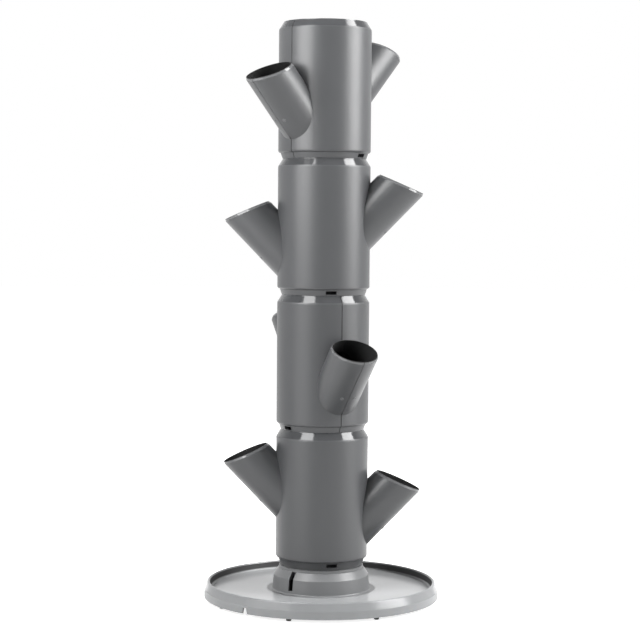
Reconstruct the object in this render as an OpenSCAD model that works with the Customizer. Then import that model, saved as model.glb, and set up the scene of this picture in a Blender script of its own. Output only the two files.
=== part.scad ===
// Stacking planting tower: four round tiers, each clipped together from two half shells,
// stand on each other and on a saucer with a socket collar.
// Millimetres. Origin: on the floor, on the column's axis. +Z is up and the front faces -Y.

/* [Tiers] */
// Outside diameter of the round column
column_d = 160; // [156:1:168]
// Wall thickness of shells and saucer
wall = 3; // [2.5:0.5:3.5]
// Height of a tier's straight body, from its shoulder to its lower edge
body_h = 208; // [204:1:230]
// Width of the seam between the two half shells
seam_gap = 0.6; // [0.4:0.1:0.8]
// Turn of each tier's low spout from the front, bottom tier first, positive to the right
tier_turns = [91.5, 23.8, -92.4, -45];

/* [Rim and neck] */
// Height of the bevelled rim above the shoulder
rim_h = 12; // [10:0.5:14]
// How far the rim's top edge lies inside the body's face
rim_inset = 7.5; // [6.5:0.5:8.5]
// Width of the rim's flat top, outer bevel to bore
rim_land_w = 2.8; // [2.4:0.2:3.2]
// Height of the neck below the body's lower edge
neck_h = 13.7; // [12:0.5:16]
// Radius of the rounding under the body's lower edge
neck_edge_r = 4.2; // [3:0.2:5]
// Length of the spigot that plugs into the rim or collar below
spigot_h = 21; // [18:1:23]
// Play between a spigot and the bore around it, on the radius
spigot_play = 0.4; // [0.3:0.1:0.6]
// Height left between a neck and the rim that it turns on
seat_gap = 0.3; // [0.2:0.1:0.4]
// Width of the drain window in the neck
window_w = 19; // [12:1:24]
// Height of the drain window
window_h = 6; // [4:0.5:7]
// Turn of the drain windows from the seam
window_turn = 103; // [90:1:110]

/* [Spouts] */
// Outside diameter of a planting spout
spout_d = 80; // [70:1:84]
// Rise of the spout's axis above level
spout_rise = 46; // [44:1:48]
// Slope of the mouth, falling outwards
mouth_tilt = 23.5; // [18:0.5:28]
// Radius at which the middle of a mouth stands
mouth_at_r = 134; // [128:1:145]
// Distance from the shoulder down to the high spout's root
high_root_gap = 28.8; // [26:0.2:32]
// Height of the low spout's root above the body's lower edge
low_root_gap = 16.9; // [14:0.1:20]
// Width of the bevel round the mouth's outer edge
mouth_bevel = 2.4; // [1.5:0.1:2.4]
// Height of that bevel along the spout
mouth_bevel_h = 4; // [2.5:0.1:5]

/* [Collar] */
// Height of the collar's lip above the saucer's lower edge
collar_h = 55.5; // [52:0.5:62]
// Height of the upright lip
lip_h = 4.6; // [3:0.2:6]
// Thickness of the lip
lip_w = 3.5; // [3:0.1:4]
// Width of the ledge outside the lip
ledge_w = 1.4; // [1:0.1:2]
// Height of the collar's sloping top, below the ledge
slope_h = 11.9; // [9:0.5:14]
// Spread of the sloping top, on the radius
slope_w = 7.9; // [6:0.5:9]
// Spread of the collar's side from the slope to the floor, on the radius
side_w = 2.3; // [1:0.1:3]
// Gap between the collar's lip and the bottom tier's neck
neck_gap = 4.3; // [3:0.1:6]
// Width of a drain slot in the collar
slot_w = 9; // [6:0.5:12]
// Height of a slot's sill above the saucer's floor
sill_h = 6; // [4:0.5:8]

/* [Saucer] */
// Diameter of the saucer's skirt
saucer_d = 408; // [380:1:430]
// Height of the rim's crest above the lower edge
saucer_h = 27; // [25:0.5:34]
// Height of the upright skirt under the rim's bevel
skirt_h = 13.4; // [10:0.2:16]
// How far the rim's crest leans in from the skirt, on the radius
saucer_lean = 7.5; // [6:0.5:10]
// Radius of the rounded crest
crest_r = 2.7; // [2.2:0.1:3]
// Height of the basin's floor above the lower edge
floor_h = 13.5; // [12:0.5:15]
// Turn of the drain slots and notches from the front
saucer_turn = -38.5; // [-60:0.5:60]
// Height of the drain notch in the skirt
notch_h = 10; // [8:0.5:12]
// Width of the notch at the lower edge
notch_w = 10; // [8:0.5:14]
// Width of the notch at its top
notch_top_w = 6; // [3:0.5:7]

/* [Feet] */
// Number of feet
foot_count = 8; // [6:2:12]
// Diameter of a foot's pad
foot_d = 9; // [8:0.5:11]
// How far the feet stand out below the saucer's lower edge
foot_h = 5.5; // [3:0.5:7]
// Distance of the feet inside the skirt's face
foot_inset = 12.5; // [10.5:0.5:18]

/* [Drain grid] */
// Thickness of the grid under the bottom tier
grid_t = 3; // [2:0.5:4]
// Diameter of the drain holes
grid_hole_d = 8; // [5:0.5:9]
// Distance between the rings of holes
grid_step = 16; // [14:0.5:18]

/* [Hidden] */
$fn = 96;

plastic_grey = [0.36, 0.37, 0.38];
rubber_black = [0.06, 0.06, 0.06];

// Overrun of every cut past the faces that it opens
over = 1;

// Radii of a tier, from the body inwards
column_r = column_d / 2;
rim_top_r = column_r - rim_inset;
rim_bore_r = rim_top_r - rim_land_w;
spigot_r = rim_bore_r - spigot_play;
spigot_bore_r = spigot_r - wall;
body_bore_r = column_r - wall;

// Heights of a tier, from its shoulder
body_low = -body_h;
neck_low = body_low - neck_h;
spigot_low = neck_low - spigot_h;
pitch = rim_h + body_h + neck_h + seat_gap;

// Small bevels of the rim's top edge and of the shoulder, and the rim bore's straight land
rim_bevel = 1.1;
shoulder_in = 0.7;
shoulder_h = 2.5;
land_h = 4;
neck_wall_lift = wall;
edge_steps = 6;

// Heights above the floor
skirt_low = foot_h;
lip_top = skirt_low + collar_h;
first_neck = lip_top + neck_gap;
first_shoulder = first_neck + neck_h + body_h;
grid_top = first_neck - spigot_h - seat_gap;
grid_low = grid_top - grid_t;

// Spouts: tube, mouth and bevel. A root is the oval in which a spout meets the body's face
spout_r = spout_d / 2;
spout_bore_r = spout_r - wall;
root_half_h = spout_r / cos(spout_rise);
mouth_over_root = (mouth_at_r - column_r) * tan(spout_rise);
high_mouth_drop = high_root_gap + root_half_h - mouth_over_root;
low_mouth_drop = body_h - low_root_gap - root_half_h - mouth_over_root;
root_share = 0.25;
spout_len = (mouth_at_r - root_share * column_r) / cos(spout_rise);
tube_to_mouth = 90 - spout_rise - mouth_tilt;
mouth_long_r = spout_r / cos(tube_to_mouth);
bevel_under = 0.5;
cut_reach = 2 * spout_d;

// Tongues on the left half that lap inside the right half, and their distance from the spouts' holes
tongue_t = 2;
tongue_lap = 9;
tongue_play = 0.3;
tongue_root = 0.6;
tongue_gap = 6;

// Heights, at the inner wall, of the hole into each spout
hole_half_h = spout_bore_r / cos(spout_rise);
hole_under_mouth = (mouth_at_r - body_bore_r) * tan(spout_rise);
low_hole = -low_mouth_drop - hole_under_mouth;
high_hole = -high_mouth_drop - hole_under_mouth;

// Collar radii
lip_bore_r = spigot_r + spigot_play;
lip_r = lip_bore_r + lip_w;
ledge_r = lip_r + ledge_w;
side_top_r = ledge_r + slope_w;
side_low_r = side_top_r + side_w;
collar_fillet_r = 3;
gusset_count = 8;
gusset_t = 2.5;
gusset_in = 12;

// Saucer radii and heights above its own lower edge
saucer_r = saucer_d / 2;
crest_at_r = saucer_r - saucer_lean;
crest_at_h = saucer_h - crest_r;
bevel_rise = crest_at_h - skirt_h;
bevel_touch = acos(crest_r / norm([saucer_lean, bevel_rise])) - atan2(bevel_rise, saucer_lean);
basin_lean = 1.5;
basin_fillet_r = 3;
basin_r = crest_at_r - crest_r - basin_lean;
rib_h = 7;
rib_t = 2.5;
rib_root = wall / 3;

// Feet and their bosses
foot_at_r = saucer_r - foot_inset;
foot_sink = 2.5;
foot_pad_h = foot_h + foot_sink;
foot_edge = 1;
stem_d = 5;
stem_h = 6;
stem_play = 0.1;
boss_d = 13;

// Rings of holes in the drain grid round the middle one
grid_rings = 3;

// Points of an arc around a middle, from one angle to another
function arc(at, r, from, to, steps = edge_steps) =
    [for (i = [0:steps]) let (a = from + (to - from) * i / steps)
        [at[0] + r * cos(a), at[1] + r * sin(a)]];

// Half section of a tier's outside
module tier_outside() {
    rotate_extrude()
        polygon(concat(
            [[0, spigot_low], [spigot_r, spigot_low], [spigot_r, neck_low], [rim_top_r, neck_low]],
            arc([column_r - neck_edge_r, body_low], neck_edge_r, -90, 0),
            [[column_r, -shoulder_h], [column_r - shoulder_in, 0]],
            [[rim_top_r, rim_h - rim_bevel], [rim_top_r - rim_bevel / 2, rim_h], [0, rim_h]]));
}

// Half section of the space inside a tier
module tier_inside() {
    rotate_extrude()
        polygon([
            [0, spigot_low - over], [spigot_bore_r, spigot_low - over],
            [spigot_bore_r, body_low + neck_wall_lift - (body_bore_r - spigot_bore_r)],
            [body_bore_r, body_low + neck_wall_lift],
            [body_bore_r, -shoulder_h],
            [rim_bore_r, rim_h - land_h],
            [rim_bore_r, rim_h + over], [0, rim_h + over]]);
}

// Places its children at the middle of a mouth: side 1 is the low spout, side -1 the high one
module at_mouth(side) {
    rotate([0, 0, side > 0 ? 0 : 180])
        translate([mouth_at_r, 0, side > 0 ? -low_mouth_drop : -high_mouth_drop])
            children();
}

// A round bar along a spout's axis, from inside the column to past the mouth
module spout_bar(side, r) {
    at_mouth(side)
        rotate([0, 90 - spout_rise, 0])
            translate([0, 0, -spout_len])
                cylinder(r = r, h = spout_len + spout_d);
}

// An oval plate in the mouth's plane
module mouth_oval(along, across) {
    linear_extrude(height = over / 100)
        scale([along / across, 1])
            circle(r = across, $fn = 48);
}

// What is cut off a spout's end: all above the mouth's plane, and the bevel round its edge
module mouth_cut(side) {
    bevel_d = mouth_bevel_h * (1 + bevel_under / mouth_bevel);
    at_mouth(side)
        rotate([0, mouth_tilt, 0]) {
            translate([-cut_reach / 2, -cut_reach / 2, 0])
                cube([cut_reach, cut_reach, cut_reach]);
            difference() {
                translate([0, 0, -bevel_d])
                    cylinder(r = spout_d, h = bevel_d + over);
                hull() {
                    translate([-bevel_d * tan(tube_to_mouth), 0, -bevel_d - over / 10])
                        mouth_oval(mouth_long_r + bevel_under, spout_r + bevel_under);
                    mouth_oval(mouth_long_r - mouth_bevel, spout_r - mouth_bevel);
                    translate([0, 0, over])
                        mouth_oval(mouth_long_r - mouth_bevel, spout_r - mouth_bevel);
                }
            }
        }
}

module spout(side) {
    difference() {
        spout_bar(side, spout_r);
        mouth_cut(side);
    }
}

// Everything on one side of the seam: side 1 is the left half, looking out along the low spout
module seam_side(side) {
    reach = 2 * mouth_at_r;
    translate([-reach, side > 0 ? seam_gap / 2 : -reach - seam_gap / 2, -reach * 2])
        cube([2 * reach, reach, reach * 4]);
}

// A tongue on the inner wall from one height to another, rooted in the left half and lapping behind
// the right half
module tongue(side, low, high) {
    outer_r = body_bore_r - tongue_play;
    inner_r = outer_r - tongue_t;
    tall = high - low;
    translate([0, 0, low])
        intersection() {
            union() {
                difference() {
                    cylinder(r = outer_r, h = tall);
                    translate([0, 0, -over])
                        cylinder(r = inner_r, h = tall + 2 * over);
                }
                intersection() {
                    difference() {
                        cylinder(r = body_bore_r + tongue_root, h = tall);
                        translate([0, 0, -over])
                            cylinder(r = inner_r, h = tall + 2 * over);
                    }
                    translate([-column_r, seam_gap / 2, -over])
                        cube([column_d, column_r, tall + 2 * over]);
                }
            }
            translate([side > 0 ? 0 : -column_d, -tongue_lap, -over])
                cube([column_d, 2 * tongue_lap, tall + 2 * over]);
        }
}

// One tongue along each free stretch of the seam: over the low spout, and over and under the high one
module tongues() {
    under_shoulder = -shoulder_h - tongue_gap;
    tongue(1, low_hole + hole_half_h + tongue_gap, under_shoulder);
    tongue(-1, high_hole + hole_half_h + tongue_gap, under_shoulder);
    tongue(-1, body_low + neck_wall_lift + tongue_gap, high_hole - hole_half_h - tongue_gap);
}

// The drain windows through the neck, one in each half
module windows() {
    window_mid = (body_low - neck_edge_r + neck_low) / 2;
    for (turn = [0, 180])
        rotate([0, 0, window_turn + turn])
            translate([spigot_bore_r - wall, -window_w / 2, window_mid - window_h / 2])
                cube([column_r, window_w, window_h]);
}

// One half shell of a tier, its shoulder at height 0 and its low spout along +X
module half_shell(side) {
    difference() {
        intersection() {
            union() {
                tier_outside();
                spout(1);
                spout(-1);
            }
            seam_side(side);
        }
        tier_inside();
        spout_bar(1, spout_bore_r);
        spout_bar(-1, spout_bore_r);
        windows();
    }
    if (side > 0)
        tongues();
}

module tier_half(tier, side) {
    color(plastic_grey)
        translate([0, 0, first_shoulder + (tier - 1) * pitch])
            rotate([0, 0, tier_turns[tier - 1] - 90])
                half_shell(side);
}

// Section of the saucer's floor, basin wall, crest, bevel and skirt, above its lower edge
module saucer_section() {
    polygon(concat(
        [[0, floor_h - wall], [basin_r, floor_h - wall], [basin_r + wall / 2, floor_h - wall / 2]],
        [[crest_at_r, crest_at_h], [saucer_r - wall, skirt_h]],
        [[saucer_r - wall, 0], [saucer_r, 0], [saucer_r, skirt_h]],
        arc([crest_at_r, crest_at_h], crest_r, bevel_touch, 180, 2 * edge_steps),
        arc([basin_r - basin_fillet_r, floor_h + basin_fillet_r], basin_fillet_r, 0, -90),
        [[0, floor_h]]));
}

// Section of the collar's wall
module collar_section() {
    ledge_h = collar_h - lip_h;
    side_h = ledge_h - slope_h;
    polygon(concat(
        [[lip_bore_r, collar_h], [lip_r - rim_bevel / 2, collar_h], [lip_r, collar_h - rim_bevel / 2]],
        [[lip_r, ledge_h], [ledge_r, ledge_h], [side_top_r, side_h]],
        arc([side_low_r + collar_fillet_r, floor_h + collar_fillet_r], collar_fillet_r, 180, 270),
        [[side_low_r + collar_fillet_r, floor_h - wall / 2], [side_low_r - wall, floor_h - wall / 2]],
        [[side_top_r - wall, side_h - wall / 2], [lip_bore_r, ledge_h - wall]]));
}

// Ribs inside the collar: the grid lies on their inner steps and their outer ends centre it
module gussets() {
    gusset_low = floor_h - wall / 2;
    step_h = grid_low - skirt_low - seat_gap;
    step_r = spigot_r + spigot_play;
    for (i = [0:gusset_count - 1])
        rotate([0, 0, (i + 0.5) * 360 / gusset_count])
            rotate([90, 0, 0])
                linear_extrude(height = gusset_t, center = true)
                    polygon([
                        [spigot_bore_r - gusset_in, gusset_low], [side_low_r - wall / 2, gusset_low],
                        [side_top_r - wall / 2, step_h], [step_r, step_h + grid_t],
                        [step_r, step_h], [spigot_bore_r - gusset_in, step_h]]);
}

// Ribs under the floor, rooted in it, each ending in a boss for a foot
module underside_ribs() {
    boss_low = foot_pad_h - foot_h;
    floor_under = floor_h - wall;
    for (i = [0:foot_count - 1])
        rotate([0, 0, (i + 0.5) * 360 / foot_count]) {
            translate([side_low_r, -rib_t / 2, floor_under - rib_h])
                cube([foot_at_r - side_low_r - boss_d / 4, rib_t, rib_h + rib_root]);
            translate([foot_at_r, 0, boss_low])
                cylinder(d = boss_d, h = floor_under + rib_root - boss_low, $fn = 48);
        }
}

module drain_cuts() {
    slot_low = floor_h + sill_h;
    slot_top = collar_h - lip_h;
    for (turn = [0, 180])
        rotate([0, 0, turn]) {
            translate([lip_bore_r - wall, -slot_w / 2, slot_low])
                cube([side_low_r - lip_bore_r + 2 * wall, slot_w, slot_top - slot_low]);
            translate([crest_at_r, 0, 0])
                rotate([90, 0, 90])
                    linear_extrude(height = saucer_lean + over)
                        polygon([
                            [-notch_w / 2, -over], [notch_w / 2, -over],
                            [notch_w / 2, 0], [notch_top_w / 2, notch_h],
                            [-notch_top_w / 2, notch_h], [-notch_w / 2, 0]]);
        }
    for (i = [0:foot_count - 1])
        rotate([0, 0, (i + 0.5) * 360 / foot_count])
            translate([foot_at_r, 0, foot_pad_h - foot_h - over])
                cylinder(d = stem_d + 2 * stem_play, h = stem_h + 2 * over, $fn = 32);
}

// Saucer with its socket collar, drain slots, skirt notches, ribs and foot bosses
module saucer() {
    color(plastic_grey)
        translate([0, 0, skirt_low])
            rotate([0, 0, saucer_turn - 90])
                difference() {
                    union() {
                        rotate_extrude($fn = 180)
                            saucer_section();
                        rotate_extrude()
                            collar_section();
                        gussets();
                        underside_ribs();
                    }
                    drain_cuts();
                }
}

// Perforated disc that carries the bottom tier's spigot and keeps the soil in
module drain_grid() {
    color(plastic_grey)
        translate([0, 0, grid_low])
            rotate([0, 0, saucer_turn - 90])
                difference() {
                    cylinder(r = spigot_r, h = grid_t);
                    for (ring = [0:grid_rings])
                        for (i = [0:ring == 0 ? 0 : 6 * ring - 1])
                            rotate([0, 0, ring == 0 ? 0 : i * 60 / ring])
                                translate([ring * grid_step, 0, -over])
                                    cylinder(d = grid_hole_d, h = grid_t + 2 * over, $fn = 32);
                }
}

// Rubber foot: a pad on the floor and a stem pressed up into its boss
module foot(place) {
    color(rubber_black)
        rotate([0, 0, saucer_turn - 90 + (place - 0.5) * 360 / foot_count])
            translate([foot_at_r, 0, 0])
                rotate_extrude($fn = 48)
                    polygon([
                        [0, 0], [foot_d / 2 - foot_edge, 0], [foot_d / 2, foot_edge],
                        [foot_d / 2, foot_pad_h], [stem_d / 2, foot_pad_h],
                        [stem_d / 2, foot_pad_h + stem_h], [0, foot_pad_h + stem_h]]);
}

saucer();
drain_grid();
foot(1);  // foot_1
foot(2);  // foot_2
foot(3);  // foot_3
foot(4);  // foot_4
foot(5);  // foot_5
foot(6);  // foot_6
foot(7);  // foot_7
foot(8);  // foot_8
tier_half(1, 1);  // tier_1_left_half
tier_half(1, -1);  // tier_1_right_half
tier_half(2, 1);  // tier_2_left_half
tier_half(2, -1);  // tier_2_right_half
tier_half(3, 1);  // tier_3_left_half
tier_half(3, -1);  // tier_3_right_half
tier_half(4, 1);  // tier_4_left_half
tier_half(4, -1);  // tier_4_right_half
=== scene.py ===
"""Looks of a stacking planting tower: four grey tiers, each two half shells with two spouts, on a saucer."""

import math

import bmesh
import bpy
from mathutils import Matrix, Vector


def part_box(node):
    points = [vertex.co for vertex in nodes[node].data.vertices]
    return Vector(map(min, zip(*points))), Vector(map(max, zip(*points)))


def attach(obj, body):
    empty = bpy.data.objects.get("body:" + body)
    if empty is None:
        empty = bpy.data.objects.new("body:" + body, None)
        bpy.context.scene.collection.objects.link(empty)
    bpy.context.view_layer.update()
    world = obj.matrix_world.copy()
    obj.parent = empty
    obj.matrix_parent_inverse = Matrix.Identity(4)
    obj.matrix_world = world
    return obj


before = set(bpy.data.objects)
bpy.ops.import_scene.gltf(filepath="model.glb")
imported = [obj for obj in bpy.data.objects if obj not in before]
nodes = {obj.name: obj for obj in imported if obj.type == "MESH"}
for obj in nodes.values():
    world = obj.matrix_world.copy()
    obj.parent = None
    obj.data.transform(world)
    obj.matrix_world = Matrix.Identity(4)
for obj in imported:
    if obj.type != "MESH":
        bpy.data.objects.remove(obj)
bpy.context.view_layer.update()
scene = bpy.context.scene
scene.view_settings.view_transform = "Standard"


# Camera. It stands in front of the column, a little above the middle of the tower, looks slightly down
# and is rolled by half a degree. It is turned a touch to the left, which puts the column just right of
# the picture's middle.
picture_px = 640
camera_reach = 3.2
camera_height = 0.6687
camera_pitch = math.radians(3.23)
camera_roll = math.radians(0.473)
focal_px = 1844.2
column_off_px = 3.1
sensor_mm = 36.0
far_clip = 60.0

lens = bpy.data.cameras.new("camera")
lens.sensor_fit = "HORIZONTAL"
lens.sensor_width = sensor_mm
lens.lens = focal_px * sensor_mm / picture_px
lens.clip_end = far_clip
level = Vector((1.0, 0.0, 0.0))
forward = Vector((0.0, math.cos(camera_pitch), -math.sin(camera_pitch)))
upright = Vector((0.0, math.sin(camera_pitch), math.cos(camera_pitch)))
right = level * math.cos(camera_roll) + upright * math.sin(camera_roll)
up = upright * math.cos(camera_roll) - level * math.sin(camera_roll)
yaw = math.atan(column_off_px / focal_px)
ahead = forward * math.cos(yaw) - right * math.sin(yaw)
right = right * math.cos(yaw) + forward * math.sin(yaw)
camera = bpy.data.objects.new("camera", lens)
camera.matrix_world = Matrix.Translation((0.0, -camera_reach, camera_height)) @ Matrix(
    (right, up, -ahead)).transposed().to_4x4()
scene.collection.objects.link(camera)
scene.camera = camera


# Saucer. One moulding in light grey polypropylene with a fine grain: a basin with a rolled rim, a skirt
# with drain notches, and the collar that the bottom tier plugs into. The collar and the skirt are satin,
# the rest is glossier, and the basin's upright wall is rough. The wall's near-black colour is painted
# shade, and the basin floor's paler colour is a painted sheen.
class Tone:
    """One value or colour on a surface. Arithmetic on a value adds Math nodes beside it."""

    def __init__(self, board, socket):
        self.board, self.socket = board, socket

    def maths(self, operation, *values):
        return self.board.node("ShaderNodeMath", {"operation": operation}, values)

    def __add__(self, other):
        return self.maths("ADD", self, other)

    def __radd__(self, other):
        return self.maths("ADD", other, self)

    def __sub__(self, other):
        return self.maths("SUBTRACT", self, other)

    def __rsub__(self, other):
        return self.maths("SUBTRACT", other, self)

    def __mul__(self, other):
        return self.maths("MULTIPLY", self, other)

    def __rmul__(self, other):
        return self.maths("MULTIPLY", other, self)

    def most(self, other):
        return self.maths("MAXIMUM", self, other)

    def length_with(self, other):
        return self.maths("SQRT", self * self + other * other)

    def rise(self, at, soft):
        """0 below a value and 1 above it, over a soft edge."""
        return self.board.node("ShaderNodeMapRange", {"interpolation_type": "SMOOTHSTEP"},
                               {"Value": self, "From Min": at - soft / 2, "From Max": at + soft / 2})


class Board:
    """The nodes of a material, of the room's surround or of a pattern of pieces."""

    def __init__(self, tree):
        self.tree = tree

    def node(self, kind, settings, inputs, out=0):
        """Adds a node: its settings first, then the value or link of each socket."""
        made = self.tree.nodes.new(kind)
        for setting, value in settings.items():
            setattr(made, setting, value)
        for socket, value in (inputs.items() if isinstance(inputs, dict) else enumerate(inputs)):
            if isinstance(value, Tone):
                self.tree.links.new(value.socket, made.inputs[socket])
            else:
                made.inputs[socket].default_value = value
        return Tone(self, made.outputs[out])


class Finish(Board):
    """A material: a Principled shader, its steady values and the nodes that vary it."""

    def __init__(self, name, **steady):
        self.material = bpy.data.materials.new(name)
        self.material.use_nodes = True
        super().__init__(self.material.node_tree)
        self.shader = self.tree.nodes["Principled BSDF"]
        for socket, value in steady.items():
            self.shader.inputs[socket.replace("_", " ")].default_value = value
        self.place = self.node("ShaderNodeTexCoord", {}, {}, out="Object")
        self.x, self.y, self.z = (self.node("ShaderNodeSeparateXYZ", {}, {"Vector": self.place}, out=axis)
                                  for axis in "XYZ")

    def noise(self, scale, detail=2.0, stretch=(1.0, 1.0, 1.0)):
        """Random relief between 0 and 1, about 1/scale metres across, with each axis of it stretched."""
        place = self.node("ShaderNodeVectorMath", {"operation": "MULTIPLY"}, [self.place, stretch])
        return self.node("ShaderNodeTexNoise", {}, {"Vector": place, "Scale": scale, "Detail": detail},
                         out="Fac")

    def blend(self, share, plain, other):
        """A colour that goes from plain to other with a share from 0 to 1."""
        return self.node("ShaderNodeMix", {"data_type": "RGBA"}, {0: share, 6: plain, 7: other}, out=2)

    def varies(self, socket, tone):
        self.tree.links.new(tone.socket, self.shader.inputs[socket])

    def relief(self, height, depth):
        """Bump from a height between 0 and 1, depth metres deep."""
        self.varies("Normal", self.node("ShaderNodeBump", {}, {"Height": height, "Distance": depth}))


def dress(piece, finish):
    """Gives a piece one material on all its faces."""
    piece.data.materials.clear()
    piece.data.materials.append(finish.material)


saucer_grey = (0.195, 0.200, 0.204, 1.0)
saucer_pale = (0.235, 0.241, 0.245, 1.0)
collar_grey = (0.146, 0.149, 0.152, 1.0)
# Painted sheen: the basin floor is painted paler, standing in for the light it mirrors at a grazing view.
basin_painted_sheen = (0.300, 0.306, 0.310, 1.0)
# Painted shade: the basin's upright wall is painted near-black, standing in for its shadow and its dark
# reflection.
wall_painted_shade = (0.012, 0.0125, 0.013, 1.0)
basin_sheen_share = 0.8
collar_foot_r = 0.0945
basin_radius, basin_floor = 0.1923, 0.019
crest_start_r, crest_start_z = 0.1945, 0.0305
skirt_face_r, skirt_top = 0.2000, 0.0189
wall_edge, sharp_edge = 0.004, 0.0005
saucer_mottle_scale, saucer_mottle_detail, saucer_mottle_share = 18.0, 3.0, 0.5
saucer_flow_scale, saucer_flow_detail, saucer_flow_share = 46.0, 2.0, 0.3
saucer_flow_stretch = (1.0, 1.0, 0.2)
saucer_rough, satin_rougher, wall_rougher, saucer_mottle_rougher = 0.15, 0.20, 0.40, 0.06
grain_scale, saucer_grain_depth = 2600.0, 0.00002
plastic_ior = 1.49

saucer_finish = Finish("saucer_plastic", Metallic=0.0, IOR=plastic_ior)
from_axis = saucer_finish.x.length_with(saucer_finish.y)
collar = 1 - from_axis.rise(collar_foot_r, sharp_edge)
basin = from_axis.rise(collar_foot_r, sharp_edge) * (1 - from_axis.rise(basin_radius, sharp_edge))
basin_wall = (from_axis.rise(basin_radius - wall_edge / 2, wall_edge)
              * saucer_finish.z.rise(basin_floor + wall_edge / 2, wall_edge)
              * (1 - from_axis.rise(crest_start_r, sharp_edge))
              * (1 - saucer_finish.z.rise(crest_start_z, sharp_edge)))
skirt = from_axis.rise(skirt_face_r, sharp_edge) * (1 - saucer_finish.z.rise(skirt_top, sharp_edge))
saucer_mottle = saucer_finish.noise(saucer_mottle_scale, saucer_mottle_detail)
saucer_flow = saucer_finish.noise(saucer_flow_scale, saucer_flow_detail, saucer_flow_stretch)
saucer_tint = saucer_finish.blend(saucer_mottle_share * saucer_mottle + saucer_flow_share * saucer_flow,
                                  saucer_grey, saucer_pale)
saucer_tint = saucer_finish.blend(collar, saucer_tint, collar_grey)
# Painted sheen on the basin floor.
saucer_tint = saucer_finish.blend(basin_sheen_share * basin, saucer_tint, basin_painted_sheen)
# Painted shade on the basin's upright wall.
saucer_finish.varies("Base Color", saucer_finish.blend(basin_wall, saucer_tint, wall_painted_shade))
saucer_finish.varies("Roughness", saucer_rough + satin_rougher * collar.most(skirt)
                     + wall_rougher * basin_wall + saucer_mottle_rougher * saucer_mottle)
saucer_finish.relief(saucer_finish.noise(grain_scale), saucer_grain_depth)
dress(nodes["saucer"], saucer_finish)


# Drain grid. A loose disc of recycled dark plastic, punched with round holes, that lies on the ribs
# inside the collar and carries the bottom tier.
grid_grey = (0.085, 0.086, 0.090, 1.0)
grid_pale = (0.120, 0.122, 0.126, 1.0)
grid_mottle_scale, grid_mottle_detail = 40.0, 3.0
grid_rough, grid_mottle_rougher = 0.45, 0.1
grid_grain_scale, grid_grain_depth = 1300.0, 0.00008

grid_finish = Finish("grid_plastic", Metallic=0.0, IOR=plastic_ior)
grid_mottle = grid_finish.noise(grid_mottle_scale, grid_mottle_detail)
grid_finish.varies("Base Color", grid_finish.blend(grid_mottle, grid_grey, grid_pale))
grid_finish.varies("Roughness", grid_rough + grid_mottle_rougher * grid_mottle)
grid_finish.relief(grid_finish.noise(grid_grain_scale), grid_grain_depth)
dress(nodes["drain_grid"], grid_finish)


# Feet. Black rubber plugs pressed up into bosses under the saucer's edge, with a dull skin that picks up
# a little dust.
foot_count = 8
rubber_black = (0.010, 0.010, 0.010, 1.0)
rubber_dust = (0.030, 0.030, 0.029, 1.0)
dust_scale = 300.0
rubber_rough, dust_rougher = 0.6, 0.2
rubber_grain_depth = 0.00006
rubber_ior = 1.5

foot_finish = Finish("foot_rubber", Metallic=0.0, IOR=rubber_ior)
dust = foot_finish.noise(dust_scale)
foot_finish.varies("Base Color", foot_finish.blend(dust, rubber_black, rubber_dust))
foot_finish.varies("Roughness", rubber_rough + dust_rougher * dust)
foot_finish.relief(foot_finish.noise(grain_scale), rubber_grain_depth)
for number in range(1, foot_count + 1):
    dress(nodes[f"foot_{number}"], foot_finish)


# Tier shells. Each tier is a pair of half shells, injection moulded in grey polypropylene and clipped
# together along a seam. The body and spouts have a fine spark-eroded grain. Their insides are dull, and
# their near-black colour is painted shade, as is the dark band beside the seam. The bevels of the rim and
# the spout mouths are polished, so they mirror the lamps, and the mouth bevels are painted paler as a
# painted highlight.
shell_grey = (0.050, 0.0515, 0.054, 1.0)
shell_pale = (0.061, 0.0625, 0.0655, 1.0)
# Painted shade: the insides of the column and spouts, and a band beside the seam, are painted near-black.
inner_painted_shade = (0.005, 0.0051, 0.0053, 1.0)
# Painted highlight: the polished mouth bevels are painted paler.
lip_painted_highlight = (0.105, 0.107, 0.110, 1.0)
tier_turns = (91.5, 23.8, -92.4, -45.0)
rim_height, rim_inset, rim_bore_r = 0.012, 0.0075, 0.0700
column_radius, column_bore_r = 0.080, 0.0785
bore_below, bore_top = 0.206, 0.0025
spout_turns = (0.0, 180.0)
spout_rise = math.radians(46.0)
spout_bore_r = 0.0383
mouth_at, mouth_clear = 0.134, 0.008
mouth_drops = (0.0776, 0.0305)
mouth_tilt = math.radians(23.5)
bevel_along, polish_edge = 0.0040, 0.0005
seam_shade, seam_edge, spout_seam_share = 0.0009, 0.0004, 0.25
shell_mottle_scale, shell_mottle_detail, shell_mottle_share = 24.0, 3.0, 0.35
shell_flow_scale, shell_flow_detail, shell_flow_share = 60.0, 2.0, 0.25
shell_flow_stretch = (1.0, 1.0, 0.12)
shell_rough, shell_mottle_rougher, polish_smoother, dull_rougher = 0.34, 0.05, 0.26, 0.3
shell_grain_depth = 0.00005


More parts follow.
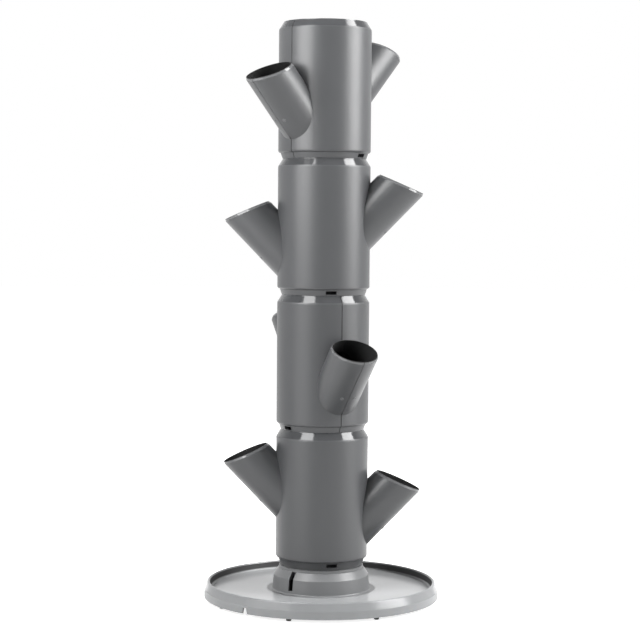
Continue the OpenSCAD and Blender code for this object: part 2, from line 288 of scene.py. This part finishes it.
def spout_masks(finish, turn, mouth_height):
    """Masks of the bevel round the mouth, and of the bore, of a spout that points at turn."""
    heading = math.radians(turn)
    outward = Vector((math.sin(heading), -math.cos(heading), 0.0))
    mouth = outward * mouth_at + Vector((0.0, 0.0, mouth_height))
    facing = outward * math.sin(mouth_tilt) + Vector((0.0, 0.0, math.cos(mouth_tilt)))
    along = outward * math.cos(spout_rise) + Vector((0.0, 0.0, math.sin(spout_rise)))
    reach = finish.x * outward.x + finish.y * outward.y
    above = finish.node("ShaderNodeVectorMath", {"operation": "DOT_PRODUCT"},
                        [finish.place, tuple(facing)], out="Value") - mouth.dot(facing)
    offset = finish.node("ShaderNodeVectorMath", {"operation": "SUBTRACT"}, [finish.place, tuple(mouth)])
    aside = finish.node("ShaderNodeVectorMath", {"operation": "CROSS_PRODUCT"}, [offset, tuple(along)])
    from_middle = finish.node("ShaderNodeVectorMath", {"operation": "LENGTH"}, [aside], out="Value")
    lip = above.rise(-bevel_along, polish_edge) * reach.rise(column_radius + mouth_clear, polish_edge)
    bore = (1 - from_middle.rise(spout_bore_r, polish_edge)) * reach.rise(0.0, polish_edge)
    return lip, bore


def shell_plastic(tier, turn, top):
    """The finish of one tier, whose rim is at height top and whose low spout points at turn."""
    finish = Finish(f"shell_plastic_{tier}", Metallic=0.0, IOR=plastic_ior)
    shoulder = top - rim_height
    out = finish.x.length_with(finish.y)
    lip, bore = spout_masks(finish, turn + spout_turns[0], shoulder - mouth_drops[0])
    high_lip, high_bore = spout_masks(finish, turn + spout_turns[1], shoulder - mouth_drops[1])
    lip = lip.most(high_lip)

    rim = (finish.z.rise(shoulder, polish_edge)
           * out.rise(column_radius - rim_inset - polish_edge, polish_edge))
    column = ((1 - out.rise(column_bore_r, polish_edge))
              * (1 - finish.z.rise(shoulder - bore_top, polish_edge)))
    inside = ((1 - out.rise(rim_bore_r, polish_edge)).most(column)
              * finish.z.rise(shoulder - bore_below, polish_edge))
    inside = inside.most(bore).most(high_bore)

    # Painted shade: a dark band on both sides of the seam between the half shells, weaker on the spouts.
    from_seam = finish.x * math.cos(math.radians(turn)) + finish.y * math.sin(math.radians(turn))
    seam = 1 - from_seam.most(0.0 - from_seam).rise(seam_shade, seam_edge)
    on_spout = out.rise(column_radius + mouth_clear / 2, mouth_clear / 2)
    seam = seam * (1 - (1 - spout_seam_share) * on_spout)

    # Painted shade inside and along the seam; the same mask also makes these places rougher.
    painted_shade_and_dull = inside.most(seam)
    polish = rim.most(lip)
    mottle = finish.noise(shell_mottle_scale, shell_mottle_detail)
    flow = finish.noise(shell_flow_scale, shell_flow_detail, shell_flow_stretch)
    tint = finish.blend(shell_mottle_share * mottle + shell_flow_share * flow, shell_grey, shell_pale)
    # Painted highlight on the mouth bevels.
    tint = finish.blend(lip, tint, lip_painted_highlight)
    finish.varies("Base Color", finish.blend(painted_shade_and_dull, tint, inner_painted_shade))
    finish.varies("Roughness", shell_rough + shell_mottle_rougher * mottle
                  - polish_smoother * polish * (1 - painted_shade_and_dull) + dull_rougher * painted_shade_and_dull)
    finish.relief(finish.noise(grain_scale) * (1 - polish), shell_grain_depth)
    return finish


tiers = []
for tier, turn in enumerate(tier_turns, start=1):
    halves = [nodes[f"tier_{tier}_{side}_half"] for side in ("left", "right")]
    top = max(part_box(half.name)[1].z for half in halves)
    finish = shell_plastic(tier, turn, top)
    for half in halves:
        dress(half, finish)
    tiers.append((tier, turn, top))


# Gate marks. Where the plastic entered the mould, each half shell keeps a broken-off nub inside a shallow
# ring under each of its half spouts. Its pale colour is partly whitening by the strain and partly a painted
# highlight, standing in for the glint on the ring's edge. One pattern sets a tier's four marks.
class Pattern(Board):
    """A Geometry Nodes tree with named inputs."""

    def __init__(self, name, kinds):
        super().__init__(bpy.data.node_groups.new(name, "GeometryNodeTree"))
        self.sockets = {label: self.tree.interface.new_socket(label, in_out="INPUT", socket_type=kind)
                        for label, kind in kinds.items()}
        self.tree.interface.new_socket("Geometry", in_out="OUTPUT", socket_type="NodeSocketGeometry")
        entry = self.tree.nodes.new("NodeGroupInput")
        self.given = {label: Tone(self, entry.outputs[label]) for label in kinds}

    def moved(self, part, turn, shift):
        """A part that is turned about the origin and then shifted."""
        return self.node("GeometryNodeTransform", {},
                         {"Geometry": part, "Rotation": turn, "Translation": shift})

    def upright(self, value):
        """A vector along the upright axis."""
        return self.node("ShaderNodeCombineXYZ", {}, {"Z": value})

    def pair(self, part, first, last, turn):
        """Two copies on the upright axis at two heights, each turned about it by a value for its index."""
        points = self.node("GeometryNodeMeshLine", {"mode": "END_POINTS"},
                           {"Count": 2, "Start Location": self.upright(first), "Offset": self.upright(last)})
        return self.node("GeometryNodeInstanceOnPoints", {},
                         {"Points": points, "Instance": part, "Rotation": self.upright(turn)})

    def joined(self, *parts):
        """Several parts as one geometry."""
        made = self.tree.nodes.new("GeometryNodeJoinGeometry")
        for part in parts:
            self.tree.links.new(part.socket, made.inputs[0])
        return Tone(self, made.outputs[0])

    def ends(self, part, material):
        """Turns the copies into one mesh with a material and hands it out."""
        solid = self.node("GeometryNodeRealizeInstances", {}, {"Geometry": part})
        solid = self.node("GeometryNodeSetMaterial", {}, {"Geometry": solid, "Material": material})
        self.tree.links.new(solid.socket, self.tree.nodes.new("NodeGroupOutput").inputs[0])

    def mesh(self, name, values):
        """The tree's result for some values, as a plain object at the origin."""
        maker = bpy.data.objects.new(name + "_maker", bpy.data.meshes.new(name + "_maker"))
        scene.collection.objects.link(maker)
        modifier = maker.modifiers.new("pattern", "NODES")
        modifier.node_group = self.tree
        for label, value in values.items():
            modifier[self.sockets[label].identifier] = value
        evaluated = maker.evaluated_get(bpy.context.evaluated_depsgraph_get())
        piece = bpy.data.objects.new(name, bpy.data.meshes.new_from_object(evaluated))
        bpy.data.objects.remove(maker)
        scene.collection.objects.link(piece)
        return piece


spout_radius = 0.040
gate_back = 0.078
gate_spread = math.radians(16.5)
gate_ring, gate_lip, gate_nub, gate_stub = 0.0028, 0.0004, 0.0014, 0.0006
nub_taper = 0.7
ring_points, lip_points, nub_points = 28, 8, 16
quarter_turn, half_turn = math.pi / 2, math.pi
# Partly strain whitening and partly a painted highlight: the scar is paler to show the glint on the ring's
# edge.
scar_strain_and_glint_grey = (0.095, 0.097, 0.100, 1.0)
scar_strain_and_glint_pale = (0.200, 0.203, 0.207, 1.0)
scar_scale = 700.0
scar_rough, scar_rougher = 0.45, 0.2
scar_grain_depth = 0.00006

scar_finish = Finish("gate_scar", Metallic=0.0, IOR=plastic_ior)
scar = scar_finish.noise(scar_scale)
scar_finish.varies("Base Color", scar_finish.blend(scar, scar_strain_and_glint_grey, scar_strain_and_glint_pale))
scar_finish.varies("Roughness", scar_rough + scar_rougher * scar)
scar_finish.relief(scar_finish.noise(grain_scale), scar_grain_depth)

gates = Pattern("gate_marks", {
    "Ring Radius": "NodeSocketFloat", "Lip Radius": "NodeSocketFloat", "Nub Radius": "NodeSocketFloat",
    "Nub Height": "NodeSocketFloat", "Spread": "NodeSocketFloat", "Place on Spout": "NodeSocketVector",
    "Spout Lean": "NodeSocketVector", "Mouth Reach": "NodeSocketVector", "Low Height": "NodeSocketFloat",
    "High Height": "NodeSocketFloat", "Heading": "NodeSocketFloat", "Finish": "NodeSocketMaterial"})
given = gates.given
index = gates.node("GeometryNodeInputIndex", {}, {})
path = gates.node("GeometryNodeCurvePrimitiveCircle", {},
                  {"Resolution": ring_points, "Radius": given["Ring Radius"]})
lip = gates.node("GeometryNodeCurvePrimitiveCircle", {},
                 {"Resolution": lip_points, "Radius": given["Lip Radius"]})
ring = gates.node("GeometryNodeCurveToMesh", {}, {"Curve": path, "Profile Curve": lip})
nub = gates.node("GeometryNodeMeshCone", {},
                 {"Vertices": nub_points, "Radius Top": given["Nub Radius"] * nub_taper,
                  "Radius Bottom": given["Nub Radius"], "Depth": given["Nub Height"]})
mark = gates.moved(gates.joined(ring, nub), (0.0, quarter_turn, 0.0), given["Place on Spout"])
marks = gates.pair(mark, 0.0, 0.0, given["Spread"] * (2 * index - 1))
marks = gates.moved(marks, given["Spout Lean"], given["Mouth Reach"])
marks = gates.pair(marks, given["Low Height"], given["High Height"], given["Heading"] + half_turn * index)
gates.ends(marks, given["Finish"])

for tier, turn, top in tiers:
    low, high = (top - rim_height - drop for drop in mouth_drops)
    piece = gates.mesh(f"tier_{tier}_gate_marks", {
        "Ring Radius": gate_ring, "Lip Radius": gate_lip, "Nub Radius": gate_nub, "Nub Height": gate_stub,
        "Spread": gate_spread, "Place on Spout": (spout_radius, 0.0, -gate_back),
        "Spout Lean": (0.0, quarter_turn - spout_rise, 0.0), "Mouth Reach": (mouth_at, 0.0, 0.0),
        "Low Height": low, "High Height": high, "Heading": math.radians(turn) - quarter_turn,
        "Finish": scar_finish.material})
    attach(piece, f"tier_{tier}")


# Room. White walls all round, a greyer ceiling, and a pale floor that keeps the tower's shadow and fades to
# white away from it. The walls are seen and mirrored, but light the tower little.
white = (1.0, 1.0, 1.0, 1.0)
surround_light, surround_seen = 0.08, 1.0
ceiling_from, ceiling_to, ceiling_grey = 0.30, 0.60, 0.20
floor_reach, floor_level, floor_points = 14.0, -0.0002, 96
floor_grey = (0.62, 0.62, 0.62, 1.0)
floor_rough = 0.9
shadow_from, shadow_to = 0.25, 0.75
glow_near, glow_far, glow_mirrored = 0.85, 1.0, 0.95

world = bpy.data.worlds.new("surround")
scene.world = world
world.use_nodes = True
surround = Board(world.node_tree)
seen_by = [surround.node("ShaderNodeLightPath", {}, {}, out=f"Is {ray} Ray")
           for ray in ("Camera", "Glossy", "Transmission")]
seen = seen_by[0].most(seen_by[1]).most(seen_by[2])
direction = surround.node("ShaderNodeTexCoord", {}, {}, out="Generated")
height = surround.node("ShaderNodeSeparateXYZ", {}, {"Vector": direction}, out="Z")
ceiling = height.rise((ceiling_from + ceiling_to) / 2, ceiling_to - ceiling_from)
strength = (surround_light + seen * (surround_seen - surround_light)) * (1 - ceiling * (1 - ceiling_grey))
background = world.node_tree.nodes["Background"]
background.inputs["Color"].default_value = white
world.node_tree.links.new(strength.socket, background.inputs["Strength"])

disc = bmesh.new()
bmesh.ops.create_circle(disc, cap_ends=True, segments=floor_points, radius=floor_reach)
floor_mesh = bpy.data.meshes.new("floor")
disc.to_mesh(floor_mesh)
disc.free()
floor = bpy.data.objects.new("floor", floor_mesh)
floor.location.z = floor_level
scene.collection.objects.link(floor)
floor_finish = Finish("pale_floor", Base_Color=floor_grey, Roughness=floor_rough, Specular_IOR_Level=0.0,
                      Emission_Strength=1.0)
away = floor_finish.x.length_with(floor_finish.y)
fade = away.rise((shadow_from + shadow_to) / 2, shadow_to - shadow_from)
shown, mirrored = (floor_finish.node("ShaderNodeLightPath", {}, {}, out=f"Is {ray} Ray")
                   for ray in ("Camera", "Glossy"))
floor_finish.varies("Emission Color", (shown + glow_mirrored * mirrored)
                    * (glow_near + fade * (glow_far - glow_near)))
dress(floor, floor_finish)


# Lamps. An upright soft box stands at the left and at the right, each with a weaker one under it. One hangs
# over the tower and one stands behind it. Those two fill the shade, and nothing mirrors them.
aim = Vector((0.0, 0.0, 0.8))
low_foot = 0.02
left_turn, left_out, left_foot, left_head = -50.0, 1.15, 0.74, 2.95
left_width, left_glow, left_low_glow = 0.80, 31.5, 5.5
right_turn, right_head_turn, right_out, right_foot, right_head = 74.0, 98.0, 1.9, 0.80, 3.4
right_width, right_glow, right_low_glow = 1.15, 42.0, 8.5
top_front, top_back, top_height = -1.5, 0.3, 3.4
top_width, top_glow = 1.8, 10.0
back_away, back_foot, back_head = 2.4, 0.6, 2.6
back_width, back_glow = 1.6, 14.0


def beside(turn, out, height):
    """A spot out from the column, at a turn from the front and a height."""
    turn = math.radians(turn)
    return Vector((math.sin(turn) * out, -math.cos(turn) * out, height))


def soft_box(name, foot, head, width, glow, mirrored=True):
    """A rectangular lamp from foot to head, facing the tower, with a glow in watts a square metre."""
    lamp = bpy.data.lights.new(name, "AREA")
    lamp.shape = "RECTANGLE"
    lamp.size, lamp.size_y = width, (head - foot).length
    lamp.energy = glow * lamp.size * lamp.size_y
    middle = (foot + head) / 2
    along = (head - foot).normalized()
    back = middle - aim
    back = (back - along * back.dot(along)).normalized()
    stand = bpy.data.objects.new(name, lamp)
    stand.matrix_world = Matrix.Translation(middle) @ Matrix(
        (along.cross(back), along, back)).transposed().to_4x4()
    stand.visible_camera = False
    stand.visible_glossy = mirrored
    scene.collection.objects.link(stand)


soft_box("left_box", beside(left_turn, left_out, left_foot), beside(left_turn, left_out, left_head),
         left_width, left_glow)
soft_box("left_low", beside(left_turn, left_out, low_foot), beside(left_turn, left_out, left_foot),
         left_width, left_low_glow)
soft_box("right_box", beside(right_turn, right_out, right_foot),
         beside(right_head_turn, right_out, right_head), right_width, right_glow)
soft_box("right_low", beside(right_turn, right_out, low_foot), beside(right_turn, right_out, right_foot),
         right_width, right_low_glow)
soft_box("top_box", Vector((0.0, top_front, top_height)), Vector((0.0, top_back, top_height)),
         top_width, top_glow, mirrored=False)
soft_box("back_box", Vector((0.0, back_away, back_foot)), Vector((0.0, back_away, back_head)),
         back_width, back_glow, mirrored=False)
